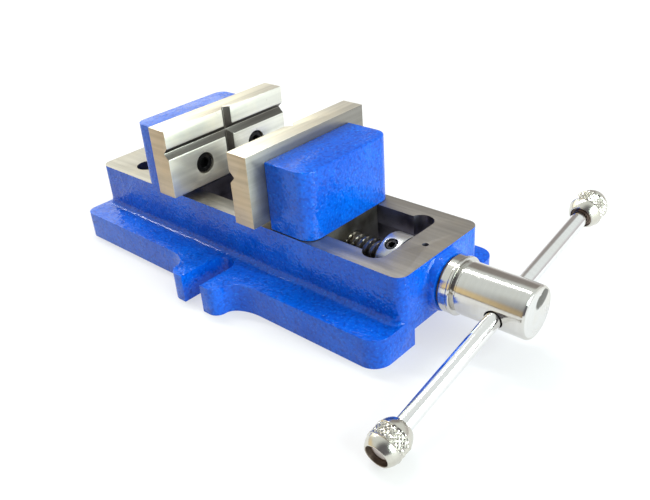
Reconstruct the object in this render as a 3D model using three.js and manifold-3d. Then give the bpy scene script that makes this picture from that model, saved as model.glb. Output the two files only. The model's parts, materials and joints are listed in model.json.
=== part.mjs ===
// A small machine vise: cast base with two clamping lugs, a sliding jaw bolted to a T-shaped nut,
// a lead screw held endways between a thrust washer and a set collar, and a sliding tommy bar.
// Millimetres, +Z up. The origin is the middle of the base's underside, X runs across the vise,
// and +Y runs along the screw from the handle to the fixed jaw.
import * as THREE from 'three';
import { mergeVertices } from 'three/addons/utils/BufferGeometryUtils.js';
import Module from 'manifold-3d';

const wasm = await Module();
wasm.setup();

// ---------------------------------------------------------------- driving dimensions
// base casting
const bodyLength = 215;
const bodyWidth = 60;
const bodyHeight = 38;
const bodyCorner = 5.5;
const flangeOverhang = 16.6;
const flangeThickness = 14.8;
const flangeFrontCorner = 9;
const flangeRearCorner = 6;
const flangeFillet = 3.5;
const railWidth = 11;
const railThickness = 10;
const skirtThickness = 7;
const frontWall = 17.3;
const footChannelWidth = 41.4;
const footChannelHeight = 8.5;
const tieLength = 14;
// clamping lugs
const lugProjection = 13.4;
const lugLength = 34;
const lugFlare = 16;
const lugCorner = 5.5;
const lugOffset = -3.5;
const lugSlotWidth = 13.8;
const lugSlotDepth = 26;
// fixed jaw, part of the base casting
const fixedWallThickness = 26.1;
const jawBlockHeight = 34;
const rearDeckLength = 43.5;
const rearHoleSpacing = 30.6;
const rearHoleInset = 25;
const rearHoleDiameter = 9;
const rearCounterbore = 13;
const rearCounterboreDepth = 9;
const slotEndWall = 5.4;
// jaw plates
const plateWidth = 80;
const plateHeight = 35.4;
const plateThickness = 12.4;
const plateLift = 4.6;
const grooveWidth = 6;
const grooveDepth = 3;
const grooveBelowTop = 12;
const plateScrewSpacing = 36;
const plateScrewBelowTop = 24;
const plateScrewDiameter = 6;
const plateScrewHead = 10;
const plateScrewLength = 18;
const plateCounterboreDepth = 6.8;
// moving jaw
const movingBlockWidth = 59;
const movingBlockLength = 25.1;
const movingBlockCorner = 5.5;
const restOpening = 45;
// slide nut and its screws
const nutLength = 24;
const nutEarLength = 11.4;
const nutEarReach = 3.3;
const nutDrop = 27;
const nutEarThickness = 10.7;
const nutScrewDiameter = 5;
const nutScrewHead = 8.5;
const nutScrewReach = 12;
const nutScrewHeadHeight = 5;
const lockWasherThickness = 1.2;
// pocket at the front of the slot, which lets the nut's ears in under the rails
const pocketOverSlot = 4;
const pocketLength = 12.2;
const pocketCorner = 5.9;
const oilHoleDiameter = 3;
const oilHoleInset = 9;
// lead screw
const screwHeight = 24;
const screwDiameter = 14;
const threadPitch = 4;
const threadDepth = 2;
const journalDiameter = 12;
const screwEndGap = 12;
const headDiameter = 24;
const headLength = 34.1;
const headChamfer = 1.2;
const bossDiameter = 28;
const bossLength = 5;
const bushWall = 2;
const bushFlange = 1.2;
const thrustWasherDiameter = 27;
const thrustWasherThickness = 5.6;
const innerWasherThickness = 1.4;
const collarDiameter = 27;
const collarLength = 10;
const setScrewDiameter = 6;
const setScrewSocket = 3;
const setScrewAngle = 24;
// tommy bar and its knobs
const barDiameter = 7.5;
const barLength = 170;
const barOffset = -5.4;
const barFromHeadEnd = 13.4;
const knobLength = 15;
const knobWall = 3.85;
const knobBelt = 6;
const knobFaceDrop = 2;
const knobRecess = 2;
// fits and clearances
const seatGap = 0.05;
const runningGap = 0.3;
const boreGap = 0.15;
const slideGap = 0.3;
const barGap = 0.55;
const benchGap = 0.05;
// smoothness of round shapes
const roundSteps = 32;
const screwSteps = 16;
const cornerSteps = 3;

// ---------------------------------------------------------------- places worked out from them
const frontY = -bodyLength / 2;
const rearY = bodyLength / 2;
const bodyHalf = bodyWidth / 2;
const flangeHalf = bodyHalf + flangeOverhang;
const lugHalf = flangeHalf + lugProjection;
const slotHalf = bodyHalf - railWidth;
const channelHalf = bodyHalf - skirtThickness;
const railUnderside = bodyHeight - railThickness;
const pocketFrontY = frontY + frontWall;
const pocketHalf = slotHalf + pocketOverSlot;
const fixedWallRearY = rearY - rearDeckLength;
const fixedWallFrontY = fixedWallRearY - fixedWallThickness;
const fixedFaceY = fixedWallFrontY - seatGap - plateThickness;
const slotRearY = fixedWallFrontY - slotEndWall;
const jawTop = bodyHeight + jawBlockHeight;
const movingBottom = bodyHeight + slideGap;
const movingFaceY = fixedFaceY - restOpening;
const movingBlockFrontY = movingFaceY - plateThickness - seatGap;
const movingBlockRearY = movingBlockFrontY - movingBlockLength;
const plateBottom = bodyHeight + plateLift;
const plateTop = plateBottom + plateHeight;
const journalRadius = journalDiameter / 2;
const screwRadius = screwDiameter / 2;
const bushRadius = journalRadius + boreGap + bushWall;
const bossFaceY = frontY - bossLength;
const washerRearY = bossFaceY - bushFlange - seatGap;
const headRearY = washerRearY - thrustWasherThickness - seatGap;
const headEndY = headRearY - headLength;
const innerWasherY = pocketFrontY + seatGap;
const collarFrontY = innerWasherY + innerWasherThickness + seatGap;
const collarRearY = collarFrontY + collarLength;
const screwEndY = slotRearY - screwEndGap;
const neckHalf = slotHalf - slideGap;
const nutBoreRadius = screwRadius + slideGap;
const nutTop = movingBottom - seatGap;
const nutBottom = nutTop - nutDrop;
const nutScrewX = (nutBoreRadius + neckHalf) / 2;
const nutMiddleY = (movingBlockFrontY + movingBlockRearY) / 2;
const knobRadius = barDiameter / 2 + knobWall;
const barY = headEndY + barFromHeadEnd;

// the bar hangs down on its longer side until that knob rests on the bench
const knobReach = barLength / 2 - barOffset - knobLength / 2 + knobBelt / 2;
const knobSwing = Math.hypot(knobReach, knobRadius);
const barTilt = Math.asin((screwHeight - benchGap) / knobSwing) - Math.atan2(knobRadius, knobReach);

// ---------------------------------------------------------------- materials
function finish(color, roughness, metalness) {
  return new THREE.MeshStandardMaterial({ color, roughness, metalness });
}
const bluePaint = finish('#1b45c4', 0.32, 0.1);
const groundSteel = finish('#a9a39b', 0.34, 0.9);
const turnedSteel = finish('#c8c6c2', 0.22, 1.0);
const blackScrew = finish('#26262a', 0.5, 0.6);
const threadSteel = finish('#857d74', 0.42, 0.9);
const bronze = finish('#a77c45', 0.4, 0.9);
const castIron = finish('#6d6b68', 0.6, 0.7);
const chrome = finish('#d8d9db', 0.15, 1.0);

// ---------------------------------------------------------------- geometry helpers
// turn a closed three.js geometry into a solid that can be cut and joined
function solid(geometry) {
  const bare = geometry.index ? geometry.toNonIndexed() : geometry.clone();
  bare.deleteAttribute('normal');
  bare.deleteAttribute('uv');
  const merged = mergeVertices(bare, 1e-4);
  const mesh = new wasm.Mesh({
    numProp: 3,
    vertProperties: new Float32Array(merged.attributes.position.array),
    triVerts: new Uint32Array(merged.index.array),
  });
  return new wasm.Manifold(mesh);
}

// turn a solid back into a three.js geometry with flat shading normals
function geometryOf(body) {
  const mesh = body.getMesh();
  const geometry = new THREE.BufferGeometry();
  geometry.setAttribute('position', new THREE.BufferAttribute(mesh.vertProperties, 3));
  geometry.setIndex(new THREE.BufferAttribute(mesh.triVerts, 1));
  geometry.computeVertexNormals();
  return geometry;
}

function joinAll(bodies) {
  return bodies.reduce((whole, body) => whole.add(body));
}

function cutAll(body, tools) {
  return tools.reduce((rest, tool) => rest.subtract(tool), body);
}

// a box between two corners
function block(x0, x1, y0, y1, z0, z1) {
  const geometry = new THREE.BoxGeometry(x1 - x0, y1 - y0, z1 - z0);
  geometry.translate((x0 + x1) / 2, (y0 + y1) / 2, (z0 + z1) / 2);
  return solid(geometry);
}

// an outline drawn in plan, raised from z0 to z1
function raised(shape, z0, z1) {
  const geometry = new THREE.ExtrudeGeometry(shape, { depth: z1 - z0, bevelEnabled: false,
    curveSegments: cornerSteps });
  geometry.translate(0, 0, z0);
  return solid(geometry);
}

// an outline drawn in X and Z, drawn out along Y from y0 to y1
function drawn(shape, y0, y1) {
  const geometry = new THREE.ExtrudeGeometry(shape, { depth: y1 - y0, bevelEnabled: false,
    curveSegments: cornerSteps });
  geometry.rotateX(Math.PI / 2);
  geometry.translate(0, y1, 0);
  return solid(geometry);
}

// a round bar standing along Z
function uprightRod(x, y, z0, z1, radius, steps = roundSteps) {
  const geometry = new THREE.CylinderGeometry(radius, radius, z1 - z0, steps);
  geometry.rotateX(Math.PI / 2);
  geometry.translate(x, y, (z0 + z1) / 2);
  return solid(geometry);
}

// a round bar lying along Y
function levelRod(x, z, y0, y1, radius, steps = roundSteps) {
  const geometry = new THREE.CylinderGeometry(radius, radius, y1 - y0, steps);
  geometry.translate(x, (y0 + y1) / 2, z);
  return solid(geometry);
}

// a turned shape: the profile is a list of [radius, place along Y], closed on itself or on the axis
function turned(profile, steps = roundSteps) {
  const points = profile.map(([radius, along]) => new THREE.Vector2(radius, along));
  return solid(new THREE.LatheGeometry(points, steps));
}

// a washer or bush along Y
function tube(inner, outer, y0, y1, steps = roundSteps) {
  return turned([[inner, y0], [outer, y0], [outer, y1], [inner, y1], [inner, y0]], steps);
}

// a rectangle in plan, symmetric about x = 0; a corner radius of 0 leaves that end's corners square
function roundedPlan(half, y0, y1, frontRadius, rearRadius) {
  const shape = new THREE.Shape();
  const corner = (x, y, radius, start) => {
    if (radius > 0) {
      shape.absarc(x, y, radius, start, start + Math.PI / 2, false);
    } else {
      shape.lineTo(x, y);
    }
  };
  shape.moveTo(-half + frontRadius, y0);
  corner(half - frontRadius, y0 + frontRadius, frontRadius, -Math.PI / 2);
  corner(half - rearRadius, y1 - rearRadius, rearRadius, 0);
  corner(-half + rearRadius, y1 - rearRadius, rearRadius, Math.PI / 2);
  corner(-half + frontRadius, y0 + frontRadius, frontRadius, Math.PI);
  return shape;
}

function mesh(name, geometry, material) {
  const piece = new THREE.Mesh(geometry, material);
  piece.name = name;
  return piece;
}

// ---------------------------------------------------------------- base casting
// one lug in plan on the +X side: it flares out of the flange edge, turns a round corner and ends
// in two fingers
function lugPlan() {
  const shape = new THREE.Shape();
  const rootX = channelHalf + 1;
  const halfLength = lugLength / 2;
  const nearY = lugOffset - halfLength;
  const farY = lugOffset + halfLength;
  const cornerX = lugHalf - lugCorner;
  const flareReach = lugProjection - lugCorner;
  shape.moveTo(rootX, nearY - lugFlare);
  shape.lineTo(flangeHalf, nearY - lugFlare);
  shape.absellipse(cornerX, nearY - lugFlare, flareReach, lugFlare, Math.PI, Math.PI / 2, true);
  shape.absarc(cornerX, nearY + lugCorner, lugCorner, -Math.PI / 2, 0, false);
  shape.lineTo(lugHalf, farY - lugCorner);
  shape.absarc(cornerX, farY - lugCorner, lugCorner, 0, Math.PI / 2, false);
  shape.absellipse(cornerX, farY + lugFlare, flareReach, lugFlare, -Math.PI / 2, -Math.PI, true);
  shape.lineTo(rootX, lugOffset + halfLength + lugFlare);
  return shape;
}

// the open-ended slot in a lug, round at its inner end
function lugSlotPlan() {
  const radius = lugSlotWidth / 2;
  const innerX = lugHalf - lugSlotDepth + radius;
  const shape = new THREE.Shape();
  shape.moveTo(lugHalf + 1, lugOffset - radius);
  shape.lineTo(lugHalf + 1, lugOffset + radius);
  shape.lineTo(innerX, lugOffset + radius);
  shape.absarc(innerX, lugOffset, radius, Math.PI / 2, 1.5 * Math.PI, false);
  return shape;
}

// the concave fillet where the body's side meets the top of the flange, on the +X side
function filletSection() {
  const shape = new THREE.Shape();
  const buried = 1;
  shape.moveTo(bodyHalf - buried, flangeThickness - buried);
  shape.lineTo(bodyHalf + flangeFillet, flangeThickness - buried);
  shape.lineTo(bodyHalf + flangeFillet, flangeThickness);
  shape.absarc(bodyHalf + flangeFillet, flangeThickness + flangeFillet, flangeFillet,
    -Math.PI / 2, -Math.PI, true);
  shape.lineTo(bodyHalf - buried, flangeThickness + flangeFillet);
  return shape;
}

function mirrored(body) {
  return body.mirror([1, 0, 0]);
}

function bothSides(body) {
  return [body, mirrored(body)];
}

function baseCasting() {
  const body = raised(roundedPlan(bodyHalf, frontY, rearY, bodyCorner, bodyCorner), 0, bodyHeight);
  const flange = raised(roundedPlan(flangeHalf, frontY, rearY, flangeFrontCorner, flangeRearCorner),
    0, flangeThickness);
  const lug = raised(lugPlan(), 0, flangeThickness);
  const fillet = drawn(filletSection(), frontY + bodyCorner, rearY - bodyCorner);
  const fixedWall = raised(
    roundedPlan(bodyHalf, fixedWallFrontY, fixedWallRearY, 0, bodyCorner), railUnderside, jawTop);
  const boss = levelRod(0, screwHeight, bossFaceY, frontY + 1, bossDiameter / 2);
  const outside = joinAll([body, flange, ...bothSides(lug), ...bothSides(fillet), fixedWall, boss]);

  const lugSlot = raised(lugSlotPlan(), -1, flangeThickness + 1);
  const slot = block(-slotHalf, slotHalf, pocketFrontY + pocketCorner, slotRearY,
    footChannelHeight, bodyHeight + 1);
  const pocket = raised(roundedPlan(pocketHalf, pocketFrontY, pocketFrontY + pocketLength,
    pocketCorner, pocketCorner), footChannelHeight, bodyHeight + 1);
  const channel = block(-channelHalf, channelHalf, pocketFrontY, slotRearY, footChannelHeight,
    railUnderside);
  const openBottom = block(-channelHalf, channelHalf, pocketFrontY, slotRearY, -1,
    footChannelHeight);
  const footChannel = block(-footChannelWidth / 2, footChannelWidth / 2, frontY - 1, rearY + 1, -1,
    footChannelHeight);
  const tie = block(-channelHalf, channelHalf, -tieLength / 2, tieLength / 2, 0, footChannelHeight);
  const bore = levelRod(0, screwHeight, bossFaceY - 1, pocketFrontY + 1, bushRadius + boreGap);
  const oilHole = uprightRod(0, frontY + oilHoleInset, screwHeight + journalRadius,
    bodyHeight + 1, oilHoleDiameter / 2, screwSteps);
  const rearHoleY = rearY - rearHoleInset;
  const rearBolt = uprightRod(rearHoleSpacing / 2, rearHoleY, 0, bodyHeight + 1,
    rearHoleDiameter / 2, screwSteps);
  const rearSeat = uprightRod(rearHoleSpacing / 2, rearHoleY, bodyHeight - rearCounterboreDepth,
    bodyHeight + 1, rearCounterbore / 2);
  const plateHoles = plateScrewTools(fixedWallFrontY, 1);
  return cutAll(outside, [
    ...bothSides(lugSlot), slot, pocket, channel, openBottom, footChannel, bore, oilHole,
    ...bothSides(rearBolt), ...bothSides(rearSeat), ...plateHoles,
  ]).add(tie);
}

// ---------------------------------------------------------------- jaw plates and their screws
// the drilled holes for both plate screws in the block behind a plate; way is +1 or -1 along Y
function plateScrewTools(faceY, way) {
  const z = plateTop - plateScrewBelowTop;
  const deep = plateScrewLength - (plateThickness - plateCounterboreDepth) + 2;
  const ends = [faceY - way, faceY + way * deep].sort((a, b) => a - b);
  const radius = plateScrewDiameter / 2 + runningGap;
  return bothSides(levelRod(plateScrewSpacing / 2, z, ends[0], ends[1], radius, screwSteps));
}

// a jaw plate whose gripping face is at faceY and looks along -Y (way 1) or +Y (way -1)
function jawPlate(faceY, way) {
  const z = plateTop - plateScrewBelowTop;
  const grooveZ = plateTop - grooveBelowTop;
  const span = (a, b) => [faceY + way * a, faceY + way * b].sort((p, q) => p - q);
  const [y0, y1] = span(0, plateThickness);
  const plate = block(-plateWidth / 2, plateWidth / 2, y0, y1, plateBottom, plateTop);
  const vee = new THREE.Shape();
  const mouth = grooveWidth / 2 * 1.1;
  const sunk = grooveDepth * 0.1;
  vee.moveTo(-mouth, -sunk);
  vee.lineTo(mouth, -sunk);
  vee.lineTo(0, grooveDepth);
  const upright = new THREE.ExtrudeGeometry(vee, { depth: plateHeight + 2, bevelEnabled: false });
  upright.translate(0, 0, plateBottom - 1);
  const level = new THREE.ExtrudeGeometry(vee, { depth: plateWidth + 2, bevelEnabled: false });
  level.rotateY(Math.PI / 2);
  level.translate(-plateWidth / 2 - 1, 0, grooveZ);
  const grooves = [upright, level].map((tool) => {
    if (way < 0) {
      tool.rotateZ(Math.PI);
    }
    tool.translate(0, faceY, 0);
    return solid(tool);
  });
  const [c0, c1] = span(-1, plateCounterboreDepth);
  const counterbore = levelRod(plateScrewSpacing / 2, z, c0, c1, plateScrewHead / 2 + 0.5);
  const [h0, h1] = span(-1, plateThickness + 1);
  const hole = levelRod(plateScrewSpacing / 2, z, h0, h1, plateScrewDiameter / 2 + runningGap,
    screwSteps);
  return cutAll(plate, [...grooves, ...bothSides(counterbore), ...bothSides(hole)]);
}

// a socket head cap screw along Y with its underside on the counterbore's seat
function capScrewProfile(shank, headRadius, headHeight, length, socket) {
  return [
    [0, length], [shank, length], [shank, 0], [headRadius, 0], [headRadius, -headHeight],
    [socket, -headHeight], [socket, -headHeight * 0.45], [0, -headHeight * 0.45],
  ];
}

function plateScrew(side, faceY, way) {
  const body = turned(capScrewProfile(plateScrewDiameter / 2, plateScrewHead / 2,
    plateScrewDiameter, plateScrewLength, plateScrewDiameter * 0.45).reverse(), screwSteps);
  const geometry = geometryOf(body);
  if (way < 0) {
    geometry.rotateX(Math.PI);
  }
  const seatY = faceY + way * (plateCounterboreDepth - seatGap);
  geometry.translate(side * plateScrewSpacing / 2, seatY, plateTop - plateScrewBelowTop);
  return geometry;
}

// ---------------------------------------------------------------- moving jaw and slide nut
function movingJaw() {
  const shape = roundedPlan(movingBlockWidth / 2, movingBlockRearY, movingBlockFrontY,
    movingBlockCorner, 0);
  const blockBody = raised(shape, movingBottom, jawTop);
  const tapped = uprightRod(nutScrewX, nutMiddleY, movingBottom - 1,
    movingBottom + nutScrewReach + 2, nutScrewDiameter / 2 + runningGap, screwSteps);
  return cutAll(blockBody, [...bothSides(tapped), ...plateScrewTools(movingBlockFrontY, -1)]);
}

// a T-shaped block: the neck fills the slot, and short ears at its handle end hook under the rails
function slideNut() {
  const y0 = nutMiddleY - nutLength / 2;
  const y1 = nutMiddleY + nutLength / 2;
  const neck = block(-neckHalf, neckHalf, y0, y1, nutBottom, nutTop);
  const earRadius = nutEarLength / 2 - 0.6;
  const earTop = railUnderside - slideGap;
  const ears = raised(roundedPlan(neckHalf + nutEarReach, y0, y0 + nutEarLength, earRadius,
    earRadius), earTop - nutEarThickness, earTop);
  const bore = levelRod(0, screwHeight, y0 - 1, y1 + 1, nutBoreRadius);
  const seatZ = nutBottom + 1 + nutScrewHeadHeight + lockWasherThickness + 2 * seatGap;
  const hole = uprightRod(nutScrewX, nutMiddleY, nutBottom - 1, nutTop + 1,
    nutScrewDiameter / 2 + runningGap, screwSteps);
  const counterbore = uprightRod(nutScrewX, nutMiddleY, nutBottom - 1, seatZ,
    nutScrewHead / 2 + runningGap, screwSteps);
  return cutAll(neck.add(ears), [bore, ...bothSides(hole), ...bothSides(counterbore)]);
}

function nutScrew(side) {
  const seatZ = nutBottom + 1 + nutScrewHeadHeight;
  const length = movingBottom + nutScrewReach - seatZ;
  const profile = capScrewProfile(nutScrewDiameter / 2, nutScrewHead / 2, nutScrewHeadHeight,
    length, nutScrewDiameter * 0.45);
  const geometry = geometryOf(turned(profile.reverse(), screwSteps));
  geometry.rotateX(Math.PI / 2);
  geometry.translate(side * nutScrewX, nutMiddleY, seatZ);
  return geometry;
}

function lockWasher(side) {
  const seatZ = nutBottom + 1 + nutScrewHeadHeight + seatGap;
  const ring = tube(nutScrewDiameter / 2 + boreGap, nutScrewHead / 2, 0, lockWasherThickness,
    screwSteps);
  const geometry = geometryOf(ring);
  geometry.rotateX(Math.PI / 2);
  geometry.translate(side * nutScrewX, nutMiddleY, seatZ);
  return geometry;
}

// ---------------------------------------------------------------- lead screw
// a left-hand trapezoidal thread: one closed right-hand helical surface, a turn too long at each end,
// is trimmed to length and then mirrored, so that turning the bar clockwise closes the jaws
function helix(y0, y1) {
  const turns = Math.ceil((y1 - y0) / threadPitch) + 2;
  const start = y0 - threadPitch;
  const root = screwRadius - threadDepth;
  const profile = [[screwRadius, 0], [screwRadius, 0.34], [root, 0.52], [root, 0.82]];
  const rows = profile.length;
  const points = [];
  const place = (row, step) => {
    const [radius, share] = profile[row % rows];
    const along = start + threadPitch * (Math.floor(row / rows) + share + step / screwSteps);
    const angle = 2 * Math.PI * step / screwSteps;
    return [radius * Math.sin(angle), along, radius * Math.cos(angle)];
  };
  const count = turns * rows;
  const key = (row, step) => step < screwSteps ? [row, step] : [row + rows, 0];
  const triangle = (a, b, c) => points.push(...a, ...b, ...c);
  for (let row = 0; row < count; row += 1) {
    for (let step = 0; step < screwSteps; step += 1) {
      const a = place(...key(row, step));
      const b = place(...key(row, step + 1));
      const c = place(...key(row + 1, step + 1));
      const d = place(...key(row + 1, step));
      triangle(a, b, c);
      triangle(a, c, d);
    }
  }
  const rim = (row) => {
    const loop = [];
    for (let step = 0; step <= screwSteps; step += 1) {
      loop.push(place(...key(row, step)));
    }
    for (let back = rows - 1; back > 0; back -= 1) {
      loop.push(place(row + back, 0));
    }
    return loop;
  };
  const nearTip = [0, start + threadPitch / 2, 0];
  const farTip = [0, start + threadPitch * (turns + 0.5), 0];
  const nearLoop = rim(0);
  const farLoop = rim(count);
  for (let i = 0; i < nearLoop.length; i += 1) {
    const j = (i + 1) % nearLoop.length;
    triangle(nearTip, nearLoop[j], nearLoop[i]);
    triangle(farTip, farLoop[i], farLoop[j]);
  }
  const geometry = new THREE.BufferGeometry();
  geometry.setAttribute('position', new THREE.Float32BufferAttribute(points, 3));
  return mirrored(solid(geometry).intersect(levelRod(0, 0, y0, y1, screwRadius * 1.2)));
}

// built about its own axis, along Y at x = 0 and z = 0
function leadScrew() {
  const headRadius = headDiameter / 2;
  const threadStart = collarRearY + 1.5;
  const shaft = turned([
    [0, headEndY],
    [headRadius - headChamfer, headEndY],
    [headRadius, headEndY + headChamfer],
    [headRadius, headRearY - 1.4],
    [headRadius - 0.8, headRearY - 0.8],
    [headRadius - 0.8, headRearY],
    [journalRadius, headRearY],
    [journalRadius, threadStart - 1],
    [screwRadius - threadDepth - 0.2, threadStart],
    [screwRadius - threadDepth - 0.2, screwEndY],
    [0, screwEndY],
  ]);
  const thread = helix(threadStart + 0.5, screwEndY - 0.5);
  const hole = solid(alongBar(new THREE.CylinderGeometry(barDiameter / 2 + barGap,
    barDiameter / 2 + barGap, headDiameter + 4, roundSteps)));
  return cutAll(shaft.add(thread), [hole]);
}

// the collar's set screw points at the axis, leaning over to the -X side
function setScrewHole(radius, inner, outer, steps) {
  const geometry = new THREE.CylinderGeometry(radius, radius, outer - inner, steps);
  geometry.rotateX(Math.PI / 2);
  geometry.translate(0, (collarFrontY + collarRearY) / 2, (inner + outer) / 2);
  geometry.rotateY(-setScrewAngle * Math.PI / 180);
  return solid(geometry);
}

function thrustCollar() {
  const edge = 0.8;
  const outer = collarDiameter / 2;
  const inner = journalRadius + boreGap;
  const ring = turned([
    [inner, collarFrontY], [outer - edge, collarFrontY], [outer, collarFrontY + edge],
    [outer, collarRearY - edge], [outer - edge, collarRearY], [inner, collarRearY],
    [inner, collarFrontY],
  ]);
  return ring.subtract(setScrewHole(setScrewDiameter / 2 + runningGap, 0, outer + 2, screwSteps));
}

function setScrew() {
  const inner = journalRadius + runningGap;
  const outer = collarDiameter / 2 - 0.8;
  const plug = setScrewHole(setScrewDiameter / 2, inner, outer, screwSteps);
  const socket = setScrewHole(setScrewSocket / 2 / Math.cos(Math.PI / 6), outer - 3, outer + 1, 6);
  return plug.subtract(socket);
}

// ---------------------------------------------------------------- tommy bar
// lay a shape that was made along Y across the screw's head, tilted as the bar hangs
function alongBar(geometry) {
  geometry.rotateZ(-Math.PI / 2);
  geometry.rotateY(-barTilt);
  geometry.translate(0, barY, 0);
  return geometry;
}

function tommyBar() {
  const half = barLength / 2;
  const radius = barDiameter / 2;
  const neck = 0.4;
  const rod = turned([
    [0, -half + knobRecess - 0.8], [radius - neck, -half + knobRecess - 0.8],
    [radius, -half + knobRecess], [radius, half - knobRecess],
    [radius - neck, half - knobRecess + 0.8], [0, half - knobRecess + 0.8],
  ], 24);
  const geometry = geometryOf(rod);
  geometry.translate(0, barOffset, 0);
  return alongBar(geometry);
}

// a turned knob pressed on the end of the bar: a straight knurled belt between two cones
function knob(side) {
  const half = knobLength / 2;
  const belt = knobBelt / 2;
  const face = knobRadius - knobFaceDrop;
  const inner = barDiameter / 2 + boreGap;
  const recess = Math.min(inner + 0.7, face - 0.5);
  const ring = turned([
    [inner, -half], [face, -half], [knobRadius, -belt], [knobRadius, belt], [face, half],
    [recess, half], [inner, half - knobRecess], [inner, -half],
  ], 24);
  const geometry = geometryOf(ring);
  if (side < 0) {
    geometry.rotateX(Math.PI);
  }
  geometry.translate(0, barOffset + side * (barLength / 2 - half), 0);
  return alongBar(geometry);
}

// ---------------------------------------------------------------- assembly
const vise = new THREE.Group();

const base = new THREE.Group();
base.add(mesh('base_casting', geometryOf(baseCasting()), bluePaint));
base.add(mesh('fixed_jaw_plate', geometryOf(jawPlate(fixedFaceY, 1)), groundSteel));
base.add(mesh('fixed_plate_screw_left', plateScrew(-1, fixedFaceY, 1), blackScrew));
base.add(mesh('fixed_plate_screw_right', plateScrew(1, fixedFaceY, 1), blackScrew));
vise.add(base);

const jaw = new THREE.Group();
jaw.add(mesh('moving_jaw', geometryOf(movingJaw()), bluePaint));
jaw.add(mesh('moving_jaw_plate', geometryOf(jawPlate(movingFaceY, -1)), groundSteel));
jaw.add(mesh('moving_plate_screw_left', plateScrew(-1, movingFaceY, -1), blackScrew));
jaw.add(mesh('moving_plate_screw_right', plateScrew(1, movingFaceY, -1), blackScrew));
jaw.add(mesh('slide_nut', geometryOf(slideNut()), castIron));
jaw.add(mesh('nut_screw_left', nutScrew(-1), blackScrew));
jaw.add(mesh('nut_screw_right', nutScrew(1), blackScrew));
jaw.add(mesh('nut_lock_washer_left', lockWasher(-1), turnedSteel));
jaw.add(mesh('nut_lock_washer_right', lockWasher(1), turnedSteel));
vise.add(jaw);

// everything round the screw is built about its axis, and this group lifts it to its height
const drive = new THREE.Group();
drive.position.z = screwHeight;
const bush = turned([
  [journalRadius + boreGap, washerRearY + seatGap],
  [thrustWasherDiameter / 2 - 1.5, washerRearY + seatGap],
  [thrustWasherDiameter / 2 - 1.5, bossFaceY - seatGap],
  [bushRadius, bossFaceY - seatGap],
  [bushRadius, pocketFrontY - seatGap],
  [journalRadius + boreGap, pocketFrontY - seatGap],
  [journalRadius + boreGap, washerRearY + seatGap],
]);
drive.add(mesh('front_bush', geometryOf(bush), bronze));
const outerWasher = turned([
  [journalRadius + boreGap, headRearY + seatGap],
  [thrustWasherDiameter / 2 - 0.5, headRearY + seatGap],
  [thrustWasherDiameter / 2, headRearY + seatGap + 0.5],
  [thrustWasherDiameter / 2, washerRearY - 0.5],
  [thrustWasherDiameter / 2 - 0.5, washerRearY],
  [journalRadius + boreGap, washerRearY],
  [journalRadius + boreGap, headRearY + seatGap],
]);
drive.add(mesh('thrust_washer', geometryOf(outerWasher), turnedSteel));
const innerWasher = tube(journalRadius + boreGap, collarDiameter / 2 - 1, innerWasherY,
  innerWasherY + innerWasherThickness);
drive.add(mesh('inner_washer', geometryOf(innerWasher), turnedSteel));
drive.add(mesh('thrust_collar', geometryOf(thrustCollar()), turnedSteel));
drive.add(mesh('collar_set_screw', geometryOf(setScrew()), blackScrew));
drive.add(mesh('lead_screw', geometryOf(leadScrew()), threadSteel));

const handle = new THREE.Group();
handle.add(mesh('tommy_bar', tommyBar(), chrome));
handle.add(mesh('bar_knob_left', knob(-1), turnedSteel));
handle.add(mesh('bar_knob_right', knob(1), turnedSteel));
drive.add(handle);
vise.add(drive);

export default vise;
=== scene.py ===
# %% [markdown]
# # A small machine vise, finished piece by piece
# The vise is a cast iron base with a ground guideway, two grooved steel jaw plates, a lead screw with
# a long round head, and a tommy bar with two knurled knobs. The packed model holds its real sizes and
# says what moves. This lesson keeps those places and makes each piece again with the edges, threads,
# knurls and finishes that the real one has.

# %% Load the packed model as a fixed frame
import json
import math

import bmesh
import bpy
from mathutils import Matrix, Vector


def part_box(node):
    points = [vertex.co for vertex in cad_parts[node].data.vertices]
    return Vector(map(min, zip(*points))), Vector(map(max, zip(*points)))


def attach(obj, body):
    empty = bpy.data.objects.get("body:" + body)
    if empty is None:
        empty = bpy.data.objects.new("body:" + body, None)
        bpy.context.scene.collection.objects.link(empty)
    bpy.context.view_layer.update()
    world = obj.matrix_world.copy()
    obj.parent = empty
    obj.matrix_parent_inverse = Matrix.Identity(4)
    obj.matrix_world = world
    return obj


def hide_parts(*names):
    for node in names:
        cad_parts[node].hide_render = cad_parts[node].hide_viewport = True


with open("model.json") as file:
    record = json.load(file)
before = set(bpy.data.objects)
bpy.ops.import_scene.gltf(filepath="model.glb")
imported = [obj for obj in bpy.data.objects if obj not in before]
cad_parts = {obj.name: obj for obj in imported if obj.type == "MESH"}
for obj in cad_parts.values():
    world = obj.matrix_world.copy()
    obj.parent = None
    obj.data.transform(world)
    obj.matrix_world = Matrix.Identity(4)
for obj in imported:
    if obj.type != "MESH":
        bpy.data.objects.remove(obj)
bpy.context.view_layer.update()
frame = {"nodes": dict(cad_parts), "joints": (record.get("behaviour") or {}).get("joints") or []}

MM = 0.001
UP = (0, 0, 1)


def box_mm(node):
    """The two corners of a node of the packed model, in millimetres."""
    low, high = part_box(node)
    return low / MM, high / MM


# %% [markdown]
# ## Sums on shader sockets
# A finish is a small sum: grain here, less of it there, a different colour where both meet. Wiring each
# Math node by hand hides the idea, so one class wraps a socket and lets Python's own operators add the
# nodes. Colours don't go through Math nodes, which would turn them grey: they are blended by Mix nodes.


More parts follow.
